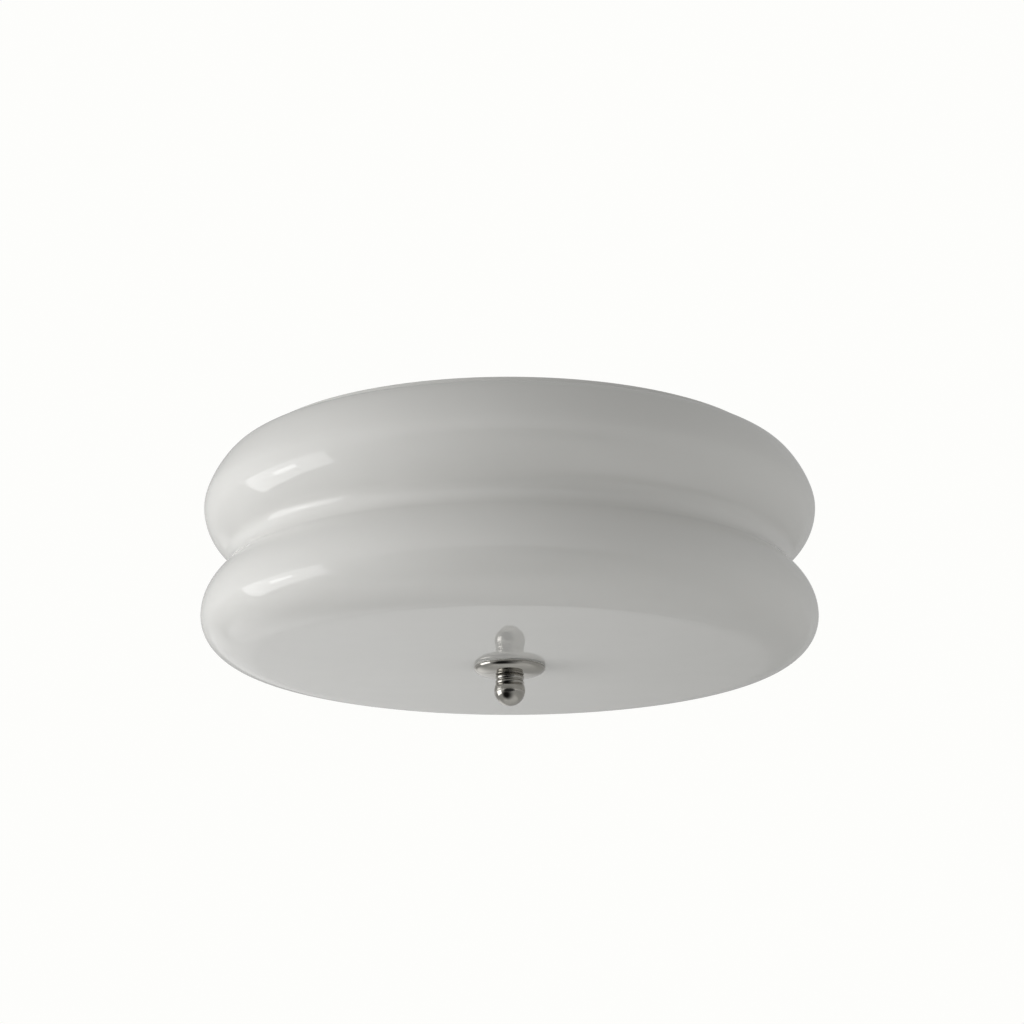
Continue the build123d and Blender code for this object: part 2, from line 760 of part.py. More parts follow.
for index, lamp_angle in enumerate(lamp_angles):
    lampholder(lamp_angle, index + 1)
    lampholder_sleeve(lamp_angle, index + 1)
    lampholder_contact(lamp_angle, index + 1)
    bulb_glass(lamp_angle, index + 1)
    bulb_cap(lamp_angle, index + 1)
    bulb_insulator(lamp_angle, index + 1)
    bulb_contact(lamp_angle, index + 1)

# ---- terminal block -----------------------------------------------------------------------------

block_length = pole_pitch * pole_count
tower_radius = 3.6
tower_spacing = 8.0
block_corner_radius = 1.5
clamp_hole_radius = 2.0
wire_hole_radius = 2.6
wire_hole_depth = 4.5
wire_hole_z = -pan_depth - wire_hole_depth
with BuildPart() as terminal_block:
    with BuildSketch(Plane.XY.offset(-pan_depth)):
        with Locations((0, block_centre_y)):
            RectangleRounded(block_length, block_width, block_corner_radius)
    extrude(amount=-block_base_height)
    with BuildSketch(Plane.XY.offset(-pan_depth)):
        with Locations((0, block_centre_y)):
            with GridLocations(pole_pitch, tower_spacing, pole_count, 2):
                Circle(tower_radius)
    extrude(amount=-block_height)
    with BuildSketch(Plane.XY.offset(-pan_depth - block_height)):
        with Locations((0, block_centre_y)):
            with GridLocations(pole_pitch, tower_spacing, pole_count, 2):
                Circle(clamp_hole_radius)
    extrude(amount=block_height - wire_hole_depth, mode=Mode.SUBTRACT)
    with BuildSketch(Plane.XZ.offset(-block_centre_y + block_width / 2)):
        with Locations((0, wire_hole_z)):
            with GridLocations(pole_pitch, 0, pole_count, 1):
                Circle(wire_hole_radius)
    extrude(amount=-block_width, mode=Mode.SUBTRACT)
    with BuildSketch(Plane.XY.offset(-pan_depth)):
        with Locations((0, block_centre_y)):
            with GridLocations(pole_pitch, 0, 2, 1):
                Circle(m3_radius + thread_gap)
    extrude(amount=-block_height, mode=Mode.SUBTRACT)
save(terminal_block.part, "terminal_block")

# Brass sleeves inside the poles, tapped from below for the clamp screws
terminal_radius = 2.55
terminal_bore_radius = 1.7
terminal_length = 15.0
with BuildPart() as terminal_sleeves:
    with BuildSketch(Plane.XZ.offset(-block_centre_y + terminal_length / 2)):
        with Locations((0, wire_hole_z)):
            with GridLocations(pole_pitch, 0, pole_count, 1):
                Circle(terminal_radius)
                Circle(terminal_bore_radius, mode=Mode.SUBTRACT)
    extrude(amount=-terminal_length)
    with BuildSketch(Plane.XY.offset(wire_hole_z)):
        with Locations((0, block_centre_y)):
            with GridLocations(pole_pitch, tower_spacing, pole_count, 2):
                Circle(m3_radius + thread_gap)
    extrude(amount=-2 * terminal_radius, mode=Mode.SUBTRACT)
save(terminal_sleeves.part, "terminal_sleeves")

# Slotted clamp screws, set a little deep in the towers
clamp_screw_top_z = wire_hole_z - 1.2
clamp_screw_bottom_z = -pan_depth - block_height + 2.5
driver_slot_width = 0.6
driver_slot_depth = 0.8
with BuildPart() as terminal_screws:
    with BuildSketch(Plane.XY.offset(clamp_screw_bottom_z)):
        with Locations((0, block_centre_y)):
            with GridLocations(pole_pitch, tower_spacing, pole_count, 2):
                Circle(m3_radius)
                Rectangle(2 * m3_radius, driver_slot_width, mode=Mode.SUBTRACT)
    extrude(amount=driver_slot_depth)
    with BuildSketch(Plane.XY.offset(clamp_screw_bottom_z + driver_slot_depth)):
        with Locations((0, block_centre_y)):
            with GridLocations(pole_pitch, tower_spacing, pole_count, 2):
                Circle(m3_radius)
    extrude(amount=clamp_screw_top_z - clamp_screw_bottom_z - driver_slot_depth)
save(terminal_screws.part, "terminal_screws")

# Two screws that hold the terminal block to the pan, with nuts pressed from the pan's sheet
block_screw_head_radius = 2.7
block_screw_head_height = 1.5
block_screw_head_rounding = 0.7
with BuildPart() as block_screws:
    with BuildSketch(Plane.XY.offset(-pan_depth - block_base_height)):
        with Locations((0, block_centre_y)):
            with GridLocations(pole_pitch, 0, 2, 1):
                Circle(block_screw_head_radius)
    extrude(amount=-block_screw_head_height)
    fillet(block_screws.edges().group_by(Axis.Z)[0], block_screw_head_rounding)
    with BuildSketch(Plane.XY.offset(-pan_depth - block_base_height)):
        with Locations((0, block_centre_y)):
            with GridLocations(pole_pitch, 0, 2, 1):
                Circle(m3_radius)
    extrude(amount=block_base_height + 2 * pan_sheet)
save(block_screws.part, "block_screws")
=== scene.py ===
# %% [markdown]
# # A flush mount ceiling light in opal glass
# The solids of the light come from its CAD model, which is loaded first and never moved.
# Each visible piece then either keeps its CAD solid and gets a finish, or is modelled again
# here with more detail and takes that solid's place. All lengths are in metres, and a hole or
# bore is given by its radius.

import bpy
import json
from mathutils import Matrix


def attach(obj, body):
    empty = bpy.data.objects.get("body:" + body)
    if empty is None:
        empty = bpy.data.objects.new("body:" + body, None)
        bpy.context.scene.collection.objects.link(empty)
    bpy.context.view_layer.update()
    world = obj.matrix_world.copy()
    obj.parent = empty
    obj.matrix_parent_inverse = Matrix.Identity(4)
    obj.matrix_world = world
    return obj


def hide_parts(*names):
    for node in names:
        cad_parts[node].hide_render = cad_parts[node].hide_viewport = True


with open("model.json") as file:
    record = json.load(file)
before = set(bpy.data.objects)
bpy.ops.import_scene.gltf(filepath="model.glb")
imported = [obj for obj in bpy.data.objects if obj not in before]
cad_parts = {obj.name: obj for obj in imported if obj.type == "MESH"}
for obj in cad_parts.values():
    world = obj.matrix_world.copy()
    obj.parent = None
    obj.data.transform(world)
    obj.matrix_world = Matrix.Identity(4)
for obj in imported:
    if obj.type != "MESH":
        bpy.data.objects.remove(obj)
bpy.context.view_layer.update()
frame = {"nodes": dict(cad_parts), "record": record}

# %% [markdown]
# ## Camera
# The photograph was taken from below, in front of the light, with a long lens. Long lenses keep
# the shade's two bulges almost equally wide, so the distance matters as much as the angle.
# A camera could be aimed with a constraint, but a plain position and tilt are easier to repeat.

# %% Camera
import bpy
from math import acos, atan2, cos, degrees, hypot, pi, radians, sin, sqrt

camera_place = (0.00135, -1.2455, -0.3908)
look_up = radians(16.184)
lens_length = 77.34
sensor_width = 36.0

camera_data = bpy.data.cameras.new("camera")
camera_data.lens = lens_length
camera_data.sensor_width = sensor_width
camera = bpy.data.objects.new("camera", camera_data)
camera.location = camera_place
camera.rotation_euler = (pi / 2 + look_up, 0.0, 0.0)
bpy.context.scene.collection.objects.link(camera)
bpy.context.scene.camera = camera
bpy.context.scene.view_settings.view_transform = "Standard"
print("camera looks up by", round(degrees(look_up), 2), "degrees")

# %% [markdown]
# ## Background
# The background is plain white. A bright backdrop would also wash out the glass, so the world is
# fully white only where the camera or a clear material looks at it. All other rays meet a soft
# grey room that is darker behind, above and to the right of the light. Reflections meet that room
# with a share of the white, because polished metal and glass have to show their surroundings.

# %% Node helpers
white_in_reflections = 0.25


def feed(tree, node, inputs):
    """Set a node's inputs to plain values, or link them to the outputs of other nodes."""
    for key, value in inputs.items():
        if isinstance(value, bpy.types.NodeSocket):
            tree.links.new(value, node.inputs[key])
        else:
            node.inputs[key].default_value = value
    return node


def maths(tree, operation, *values):
    """Output of a maths node that works on plain values or on the outputs of other nodes."""
    node = tree.nodes.new("ShaderNodeMath")
    node.operation = operation
    return feed(tree, node, dict(enumerate(values))).outputs[0]


def smooth_step(tree, value, low, high):
    """Output that rises softly from 0 to 1 while a value goes from low to high."""
    step = tree.nodes.new("ShaderNodeMapRange")
    step.interpolation_type = "SMOOTHSTEP"
    return feed(tree, step, {"Value": value, "From Min": low, "From Max": high}).outputs["Result"]


def white_share(tree):
    """How white a ray finds the studio: fully for camera and clear things, partly in a mirror."""
    ray = tree.nodes.new("ShaderNodeLightPath")
    reflected = maths(tree, "MULTIPLY", ray.outputs["Is Glossy Ray"], white_in_reflections)
    seen = maths(tree, "MAXIMUM", ray.outputs["Is Camera Ray"], reflected)
    return maths(tree, "MAXIMUM", seen, ray.outputs["Is Transmission Ray"])


# %% [markdown]
# ### The room
# The room's grey runs from bright to dim along one slanting direction, by the angle at which a
# ray leaves. A picture of a real room could stand here, but a blend of two greys throws the same
# light, and it has no shapes of its own that the glass would mirror.

# %% Background
background_white = (0.985, 0.985, 0.968, 1.0)
room_bright = (0.70, 0.70, 0.686, 1.0)
room_dim = (0.25, 0.251, 0.247, 1.0)
dim_side = (0.50, 0.62, 0.60)
blend_from, blend_to = -0.9, 0.9

world = bpy.data.worlds.new("studio")
bpy.context.scene.world = world
world.use_nodes = True
studio = world.node_tree
studio.nodes.clear()
direction = studio.nodes.new("ShaderNodeTexCoord")
towards_dim_side = studio.nodes.new("ShaderNodeVectorMath")
towards_dim_side.operation = "DOT_PRODUCT"
feed(studio, towards_dim_side, {0: direction.outputs["Generated"], 1: dim_side})
dimness = smooth_step(studio, towards_dim_side.outputs["Value"], blend_from, blend_to)
room_colour = studio.nodes.new("ShaderNodeMix")
room_colour.data_type = "RGBA"
feed(studio, room_colour, {"Factor": dimness, "A": room_bright, "B": room_dim})
room_light = studio.nodes.new("ShaderNodeBackground")
feed(studio, room_light, {"Color": room_colour.outputs["Result"]})
white_light = studio.nodes.new("ShaderNodeBackground")
feed(studio, white_light, {"Color": background_white})
choose = studio.nodes.new("ShaderNodeMixShader")
feed(studio, choose,
     {"Fac": white_share(studio), 1: room_light.outputs[0], 2: white_light.outputs[0]})
world_out = studio.nodes.new("ShaderNodeOutputWorld")
feed(studio, world_out, {"Surface": choose.outputs[0]})
print("world nodes:", len(studio.nodes))

# %% [markdown]
# ## Softbox and fill
# One wide softbox stands to the left of the light and a little below it. The glass mirrors it
# as the pale four-sided patches on its left, and its middle, where the lamp sits, is brighter.
# The room's walls throw more light from both sides than the glass mirrors, so three fill lights
# are hidden from reflections. One lamp alone would need far too bright a mirror image.

# %% Softbox and fill
softbox_x, softbox_y, softbox_z = -1.70, -0.12, -0.475
middle_forward = 0.02
middle_up = 0.08


def side_light(name, wide, high, watts, place, from_left=True, mirrored=True):
    """Rectangular light beside the object that shines level across it."""
    data = bpy.data.lights.new(name, "AREA")
    data.shape = "RECTANGLE"
    data.size = high
    data.size_y = wide
    data.energy = watts
    light = bpy.data.objects.new(name, data)
    light.location = place
    light.rotation_euler = (0.0, -pi / 2 if from_left else pi / 2, 0.0)
    light.visible_glossy = mirrored
    bpy.context.scene.collection.objects.link(light)
    return light


lights = (
    side_light("softbox", wide=1.26, high=0.74, watts=6.0,
               place=(softbox_x, softbox_y, softbox_z)),
    side_light("softbox_middle", wide=0.34, high=0.16, watts=0.5,
               place=(softbox_x + middle_forward, softbox_y, softbox_z + middle_up)),
    side_light("left_fill", wide=2.4, high=1.4, watts=27.0,
               place=(softbox_x, -0.36, -0.60), mirrored=False),
    side_light("high_fill", wide=1.2, high=0.8, watts=7.0,
               place=(-1.9, -0.6, 0.55), mirrored=False),
    side_light("right_fill", wide=2.4, high=1.6, watts=20.0,
               place=(2.6, -0.1, -0.85), from_left=False, mirrored=False),
)
print("lights:", [light.name for light in lights])

# %% [markdown]
# ## Floor and reflection cards
# The floor is far below, as under a ceiling, and pale. Four cards exist for reflections alone. A
# bright one far behind the light shines in the flat underside, which ends it with a crisp edge
# where the glass begins to turn, and a lower one on the left lets that edge fade. Two dark ones
# with soft edges stand in front, because polished metal needs something dark to mirror, or it
# looks like grey plastic.

# %% Floor
floor_z = -2.35
floor_size = 90.0
floor_tone = (0.72, 0.72, 0.71, 1.0)
floor_glow_tone = (1.0, 1.0, 0.985, 1.0)
floor_glow = 0.42
floor_least_glow = 0.03
lying = (0.0, 0.0, 0.0)
upright = (pi / 2, 0.0, 0.0)


def plain_card(name, size, place, turn):
    """Flat rectangle of the studio with a material of its own."""
    bpy.ops.object.select_all(action="DESELECT")
    bpy.ops.mesh.primitive_plane_add(size=1.0, location=place, rotation=turn)
    card = bpy.context.object
    card.name = name
    card.scale = (*size, 1.0)
    material = bpy.data.materials.new(name)
    material.use_nodes = True
    card.data.materials.append(material)
    return card, material.node_tree


floor, floor_tree = plain_card("floor", (floor_size, floor_size), (0.0, 0.0, floor_z), lying)
feed(floor_tree, floor_tree.nodes["Principled BSDF"], {
    "Base Color": floor_tone,
    "Roughness": 1.0,
    "Specular IOR Level": 0.0,
    "Emission Color": floor_glow_tone,
    "Emission Strength": maths(
        floor_tree, "MULTIPLY_ADD", white_share(floor_tree), floor_glow, floor_least_glow),
})
print("stage:", floor.name, "at", floor_z)

# %% [markdown]
# ### Cards that only reflections see
# A studio would hang up real cards of white and black board. These are painted with light of
# their own, so that no lamp has to reach them, and turn clear towards their edges, because a
# hard edge would be mirrored as a line. The nearer dark one is tipped to face the finial.

# %% Reflection cards
card_blue = 0.985
even = (1.0, 1.0, 1.0)
across_only = (1.0, 0.0, 0.0)


def mirrored_card(name, tone, size, place, turn, fade, stretch=even):
    """Card that only reflections see: plain in its middle and clear towards its edges."""
    card, tree = plain_card(name, size, place, turn)
    card.visible_camera = False
    card.visible_diffuse = False
    card.visible_transmission = False
    card.visible_shadow = False
    tree.nodes.clear()
    where = tree.nodes.new("ShaderNodeTexCoord")
    stretched = tree.nodes.new("ShaderNodeMapping")
    feed(tree, stretched, {"Vector": where.outputs["Object"], "Scale": stretch})
    from_middle = tree.nodes.new("ShaderNodeVectorMath")
    from_middle.operation = "LENGTH"
    feed(tree, from_middle, {0: stretched.outputs["Vector"]})
    clearness = smooth_step(tree, from_middle.outputs["Value"], *fade)
    paint = tree.nodes.new("ShaderNodeEmission")
    feed(tree, paint, {"Color": (tone, tone, card_blue * tone, 1.0)})
    clear = tree.nodes.new("ShaderNodeBsdfTransparent")
    blend = tree.nodes.new("ShaderNodeMixShader")
    feed(tree, blend, {"Fac": clearness, 1: paint.outputs[0], 2: clear.outputs[0]})
    out = tree.nodes.new("ShaderNodeOutputMaterial")
    feed(tree, out, {"Surface": blend.outputs[0]})
    return card


cards = (
    mirrored_card("bright_card", tone=0.86, size=(12.0, 1.90), place=(-2.0, 7.0, -1.31),
                  turn=upright, fade=(0.04, 0.30), stretch=across_only),
    mirrored_card("low_card", tone=1.0, size=(4.6, 7.6), place=(-1.9, 4.9, -2.25),
                  turn=lying, fade=(0.12, 0.50)),
    mirrored_card("dark_card", tone=0.012, size=(3.6, 3.4), place=(-0.62, -0.95, -1.05),
                  turn=(radians(-52.0), 0.0, 0.0), fade=(0.10, 0.46)),
    mirrored_card("dark_wall", tone=0.05, size=(6.0, 1.5), place=(-0.2, -2.6, -0.35),
                  turn=upright, fade=(0.25, 0.50)),
)
print("cards:", [card.name for card in cards])

# %% [markdown]
# ## Finishes
# Every finish is a Principled surface whose colour and roughness vary a little through a noise
# texture on Object coordinates, and most have a fine bump. The coordinates belong to the piece,
# so a pattern neither slides nor turns when the light is taken apart. Painted pictures could do
# the same, but they would need an unwrapped surface on every piece.

# %% Finish helper
cloud_detail = 3.0
cloud_low, cloud_high = 0.3, 0.7
relief_detail = 2.0
least_roughness = 0.02


def finish(name, colour, roughness, tint, grain, metallic=0.0, rough_spread=0.06,
           bump_grain=300.0, bump_depth=0.0):
    """Principled finish with a little cloud in its colour and roughness, and a fine bump."""
    material = bpy.data.materials.new(name)
    material.use_nodes = True
    tree = material.node_tree
    surface = tree.nodes["Principled BSDF"]
    where = tree.nodes.new("ShaderNodeTexCoord").outputs["Object"]
    cloud = tree.nodes.new("ShaderNodeTexNoise")
    feed(tree, cloud, {"Vector": where, "Scale": grain, "Detail": cloud_detail})
    tint_range = tree.nodes.new("ShaderNodeMix")
    tint_range.data_type = "RGBA"
    feed(tree, tint_range, {
        "Factor": cloud.outputs["Fac"],
        "A": (*[c * (1 - tint) for c in colour], 1.0),
        "B": (*[min(1.0, c * (1 + tint)) for c in colour], 1.0),
    })
    rough_range = tree.nodes.new("ShaderNodeMapRange")
    feed(tree, rough_range, {
        "Value": cloud.outputs["Fac"], "From Min": cloud_low, "From Max": cloud_high,
        "To Min": max(least_roughness, roughness - rough_spread),
        "To Max": roughness + rough_spread,
    })
    feed(tree, surface, {
        "Metallic": metallic,
        "Base Color": tint_range.outputs["Result"],
        "Roughness": rough_range.outputs["Result"],
    })
    if bump_depth:
        relief = tree.nodes.new("ShaderNodeTexNoise")
        feed(tree, relief, {"Vector": where, "Scale": bump_grain, "Detail": relief_detail})
        bump = tree.nodes.new("ShaderNodeBump")
        feed(tree, bump, {"Distance": bump_depth, "Strength": 1.0, "Height": relief.outputs["Fac"]})
        feed(tree, surface, {"Normal": bump.outputs["Normal"]})
    return material


# %% [markdown]
# ### Opal glass
# The glass is milky right through and fire polished. Light goes a few millimetres into it and
# comes out again, softly spread. Subsurface scattering could follow that light. An even, pale
# base colour under sharp reflections is simpler and leaves no grain, but the glass then lacks the
# glow of its real edges. Blown glass is never quite flat, so a very long and shallow bump bends
# its mirror images slightly.

# %% Opal glass
opal_glass = finish("opal_glass", (0.668, 0.664, 0.648), 0.035, tint=0.015, grain=9.0,
                    rough_spread=0.012, bump_grain=14.0, bump_depth=0.0003)
opal_glass.node_tree.nodes["Principled BSDF"].inputs["IOR"].default_value = 1.5
print("finish:", opal_glass.name)

# %% [markdown]
# ### Metals, ceramic, rubber and plastic
# The finial and its ring are polished nickel. The parts above the glass are what a maker would
# use there: white enamelled sheet, zinc plated steel, brass and glazed porcelain.

# %% Other finishes
polished_nickel = finish("polished_nickel", (0.48, 0.465, 0.435), 0.055, metallic=1.0,
                         tint=0.05, grain=260.0, rough_spread=0.02,
                         bump_grain=900.0, bump_depth=0.000004)
white_enamel = finish("white_enamel", (0.84, 0.84, 0.82), 0.32, tint=0.02, grain=30.0,
                      bump_grain=220.0, bump_depth=0.000012)
zinc_steel = finish("zinc_steel", (0.56, 0.575, 0.59), 0.34, metallic=1.0, tint=0.10,
                    grain=120.0, rough_spread=0.10, bump_grain=1500.0, bump_depth=0.00001)
earth_green = finish("earth_green", (0.10, 0.34, 0.13), 0.35, metallic=0.4, tint=0.10, grain=300.0)
brass = finish("brass", (0.74, 0.56, 0.26), 0.30, metallic=1.0, tint=0.04, grain=120.0,
               rough_spread=0.04)
porcelain = finish("porcelain", (0.84, 0.83, 0.78), 0.12, tint=0.03, grain=90.0,
                   bump_grain=120.0, bump_depth=0.00005)
black_rubber = finish("black_rubber", (0.030, 0.030, 0.031), 0.62, tint=0.2, grain=500.0,
                      bump_grain=1500.0, bump_depth=0.00002)
clear_silicone = finish("clear_silicone", (0.74, 0.74, 0.71), 0.42, tint=0.03, grain=200.0)
white_foam = finish("white_foam", (0.80, 0.80, 0.76), 0.90, tint=0.08, grain=900.0,
                    bump_grain=1600.0, bump_depth=0.0002)
block_plastic = finish("block_plastic", (0.80, 0.80, 0.74), 0.30, tint=0.03, grain=200.0,
                       bump_grain=900.0, bump_depth=0.00001)
bulb_glass = finish("bulb_glass", (0.86, 0.855, 0.82), 0.16, tint=0.01, grain=20.0)
bulb_cap_alloy = finish("bulb_cap_alloy", (0.68, 0.68, 0.67), 0.26, metallic=1.0, tint=0.06,
                        grain=160.0)
black_glass = finish("black_glass", (0.012, 0.012, 0.014), 0.08, tint=0.2, grain=200.0)
tin = finish("tin", (0.58, 0.58, 0.56), 0.36, metallic=1.0, tint=0.10, grain=500.0,
             bump_grain=700.0, bump_depth=0.00008)
print("finishes:", len(bpy.data.materials))

# %% [markdown]
# ## Finishes on the CAD nodes
# A CAD solid whose shape is right keeps it, and only gets its finish here. The record names a
# material slot for every node, and each slot's finish has the same name. The rod's brass is the
# same as the sleeves'.

# %% Finishes on the CAD nodes
slot_finish = {
    "opal_glass": opal_glass, "polished_nickel": polished_nickel, "white_enamel": white_enamel,
    "zinc_steel": zinc_steel, "earth_green": earth_green, "brass_tube": brass, "brass": brass,
    "white_foam": white_foam, "black_rubber": black_rubber, "clear_silicone": clear_silicone,
    "porcelain": porcelain, "block_plastic": block_plastic, "bulb_glass": bulb_glass,
    "bulb_cap_alloy": bulb_cap_alloy, "black_glass": black_glass, "tin": tin,
}
slots = {row["node"]: row["material_slot"] for row in frame["record"]["subparts"]}
for node_name, slot_name in slots.items():
    for material_slot in frame["nodes"][node_name].material_slots:
        material_slot.material = slot_finish[slot_name]
print("dressed", len(slots), "CAD nodes")

# %% [markdown]
# ## Handling pieces
# Every new piece goes through the same few moves: it is picked, smoothed, copied, joined to
# another or set in its place. They are written down once here. A move goes into the mesh itself,
# so that every piece keeps the light's origin as its own, as the CAD nodes do. A move left on the
# object would look the same, but its finish and its joint would start from another origin.

# %% Handling helpers
mm = 0.001


def pick(*pieces):
    """Select these pieces and nothing else, with the first one active."""
    bpy.ops.object.select_all(action="DESELECT")
    for piece in pieces:
        piece.select_set(True)
    bpy.context.view_layer.objects.active = pieces[0]


def apply_modifiers(piece):
    """Make every modifier of a piece part of its mesh."""
    pick(piece)
    for modifier in list(piece.modifiers):
        bpy.ops.object.modifier_apply(modifier=modifier.name)


def smooth(piece, below):
    """Smooth shading over every edge that turns by less than the given degrees."""
    pick(piece)
    bpy.ops.object.shade_smooth_by_angle(angle=radians(below))


def copy_of(piece):
    """Copy of a piece with a mesh of its own."""
    twin = piece.copy()
    twin.data = piece.data.copy()
    bpy.context.scene.collection.objects.link(twin)
    return twin


def join(main, *others):
    """One object out of several."""
    pick(main, *others)
    bpy.ops.object.join()
    return main


def move(piece, place, turn):
    """Turn a piece that was made at the origin and take it to its place."""
    pick(piece)
    piece.rotation_euler = turn
    piece.location = place
    bpy.ops.object.transform_apply(location=True, rotation=True, scale=True)
    return piece


def dress(piece, material, body, *nodes):
    """Give a finished piece its finish and body, and let it stand for CAD nodes."""
    piece.data.materials.clear()
    piece.data.materials.append(material)
    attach(piece, body)
    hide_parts(*nodes)
    print(piece.name, "rides on", body, "with", len(piece.data.polygons), "faces")


# %% [markdown]
# ## Turning a piece from its outline
# The shade is blown into a round mould, and the ring and knob are spun and turned on a lathe. All
# of them are round about one upright axis, so each can be drawn as half an outline and spun.
# A ready made sphere or cylinder would have to be pushed into shape ring by ring instead. The
# outline starts as one point, which is extruded from place to place, as by hand.

# %% Lathe helper
weld_gap = 0.001 * mm


def draw_outline(name, outline):
    """New mesh object in edit mode: one point, extruded along an outline of (radius, height)."""
    bpy.ops.object.select_all(action="DESELECT")
    bpy.ops.mesh.primitive_plane_add(size=mm)
    bpy.context.object.name = name
    bpy.ops.object.mode_set(mode="EDIT")
    bpy.ops.mesh.select_all(action="SELECT")
    bpy.ops.mesh.merge(type="CENTER")
    radius, height = outline[0]
    bpy.ops.transform.translate(value=(radius, 0.0, height))
    for next_radius, next_height in outline[1:]:
        step = (next_radius - radius, 0.0, next_height - height)
        bpy.ops.mesh.extrude_vertices_move(TRANSFORM_OT_translate={"value": step})
        radius, height = next_radius, next_height
    return bpy.context.object


def outward_share(piece):
    """Sum of each face's area times how far its normal points away from the upright axis."""
    share = 0.0
    for face in piece.data.polygons:
        middle, normal = face.center, face.normal
        share += face.area * (middle.x * normal.x + middle.y * normal.y)
    return share


def weld(piece):
    """Weld points that lie on each other and turn every face outwards."""
    bpy.ops.object.mode_set(mode="EDIT")
    bpy.ops.mesh.select_all(action="SELECT")
    bpy.ops.mesh.remove_doubles(threshold=weld_gap)
    bpy.ops.mesh.normals_make_consistent(inside=False)
    bpy.ops.object.mode_set(mode="OBJECT")
    if outward_share(piece) < 0:
        bpy.ops.object.mode_set(mode="EDIT")
        bpy.ops.mesh.flip_normals()
        bpy.ops.object.mode_set(mode="OBJECT")


def turn_on_lathe(name, outline, steps, smooth_below=35.0):
    """Spin an outline round the Z axis and weld the seam."""
    piece = draw_outline(name, outline)
    bpy.ops.mesh.select_all(action="SELECT")
    bpy.ops.mesh.spin(steps=steps, angle=2 * pi, center=(0.0, 0.0, 0.0), axis=(0.0, 0.0, 1.0))
    weld(piece)
    smooth(piece, smooth_below)
    return piece


# %% [markdown]
# ### Walls and edges
# A spun outline is a skin without thickness. Sheet and glass get their wall from it by pushing
# the skin inwards by the same amount everywhere. A smaller copy of the outline would make the
# wall thin where the outline is steep. Sharp edges are then rounded, as every tool and flame
# leaves them.

# %% Walls and edges
def give_thickness(piece, thickness):
    """Wall of even thickness inside the surface that was drawn."""
    wall = piece.modifiers.new("wall", "SOLIDIFY")
    wall.thickness = thickness
    wall.offset = -1.0
    wall.use_even_offset = True
    apply_modifiers(piece)


def round_edges(piece, width, sharper_than, segments=2):
    """Rounded edges wherever two faces meet at more than the given degrees."""
    rounding = piece.modifiers.new("rounding", "BEVEL")
    rounding.width = width
    rounding.segments = segments
    rounding.limit_method = "ANGLE"
    rounding.angle_limit = radians(sharper_than)
    apply_modifiers(piece)


# %% [markdown]
# ## Curves of the shade's outline
# The glass has no straight side: a rounded shoulder, two bulges like part of an ellipse, a soft
# crease between them and a base that turns under. Each curve is worked out from the same few
# sizes as in the CAD model, so the new wall lies on the solid that it replaces. Only the mouth
# and the widest place are some hundredths of a millimetre smaller, to stay inside the CAD box.

# %% Outline curves
def curve_between(start, start_handle, end_handle, end, points=28):
    """Points on a Bezier curve, without its first point."""
    made = []
    for i in range(1, points + 1):
        t = i / points
        weights = ((1 - t) ** 3, 3 * (1 - t) ** 2 * t, 3 * (1 - t) * t * t, t ** 3)
        corners = (start, start_handle, end_handle, end)
        made.append(tuple(sum(w * c[k] for w, c in zip(weights, corners)) for k in (0, 1)))
    return made


def falling_quarter(start, end, fullness):
    """Rounded quarter that leaves its start level and reaches its end upright."""
    (r0, z0), (r1, z1) = start, end
    level_handle = (r0 + fullness * (r1 - r0), z0)
    upright_handle = (r1, z1 + fullness * (z0 - z1))
    return curve_between(start, level_handle, upright_handle, end)


def turning_under(start, end, fullness, points=28):
    """Rounded quarter that leaves its start upright and reaches its end level."""
    (r0, z0), (r1, z1) = start, end
    upright_handle = (r0, z0 + fullness * (z1 - z0))
    level_handle = (r1 + fullness * (r0 - r1), z1)
    return curve_between(start, upright_handle, level_handle, end, points)


def circle_arc(middle, radius, start, end, steps):
    """Points on a circle from one angle to another, both ends included."""
    angles = [start + (end - start) * k / steps for k in range(steps + 1)]
    return [(middle[0] + radius * cos(angle), middle[1] + radius * sin(angle)) for angle in angles]


# %% [markdown]
# ### Bulges and crease
# Each bulge runs as part of an ellipse towards the waist, and there a ball of the crease's radius
# is rolled along both arcs until it touches the two. A bevel on the finished mesh could round
# the corner too, but it would follow the mesh's edges and not the ball of the CAD model. The
# arcs are worked out finely, to find where the ball touches, and only every few points are kept.

# %% Bulges and crease
arc_steps = 600
kept_step = 22
crease_steps = 14


def bulge_arc(bulge, depth, waist):
    """Elliptical arc from a bulge's widest point to the corner at the waist."""
    centre = bulge[0] - depth
    turn = acos((waist[0] - centre) / depth)
    half_height = (waist[1] - bulge[1]) / sin(turn)
    shares = [i / arc_steps for i in range(arc_steps + 1)]
    return [(centre + depth * cos(turn * share), bulge[1] + half_height * sin(turn * share))
            for share in shares]


def soft_crease(above, below, radius):
    """Join two arcs that meet in a hollow corner by a ball that rolls along both."""
    def pushed_out(arc):
        pushed = []
        for (r0, z0), (r1, z1) in zip(arc[:-1], arc[1:]):
            length = hypot(r1 - r0, z1 - z0)
            pushed.append((r0 - (z1 - z0) / length * radius, z0 + (r1 - r0) / length * radius))
        return pushed

    def angle_of(point, middle):
        return atan2(point[1] - middle[1], point[0] - middle[0]) % (2 * pi)

    upper, lower = pushed_out(above), pushed_out(below)
    gap, i, j = min((hypot(a[0] - b[0], a[1] - b[1]), i, j)
                    for i, a in enumerate(upper) for j, b in enumerate(lower))
    middle = upper[i]
    ball = circle_arc(middle, radius, angle_of(above[i], middle), angle_of(below[j], middle),
                      crease_steps)
    print("ball of the crease touches both arcs within", round(gap, 6))
    return (above[:i:kept_step] + [above[i]] + ball[1:-1]
            + [below[j]] + below[j + kept_step::kept_step])


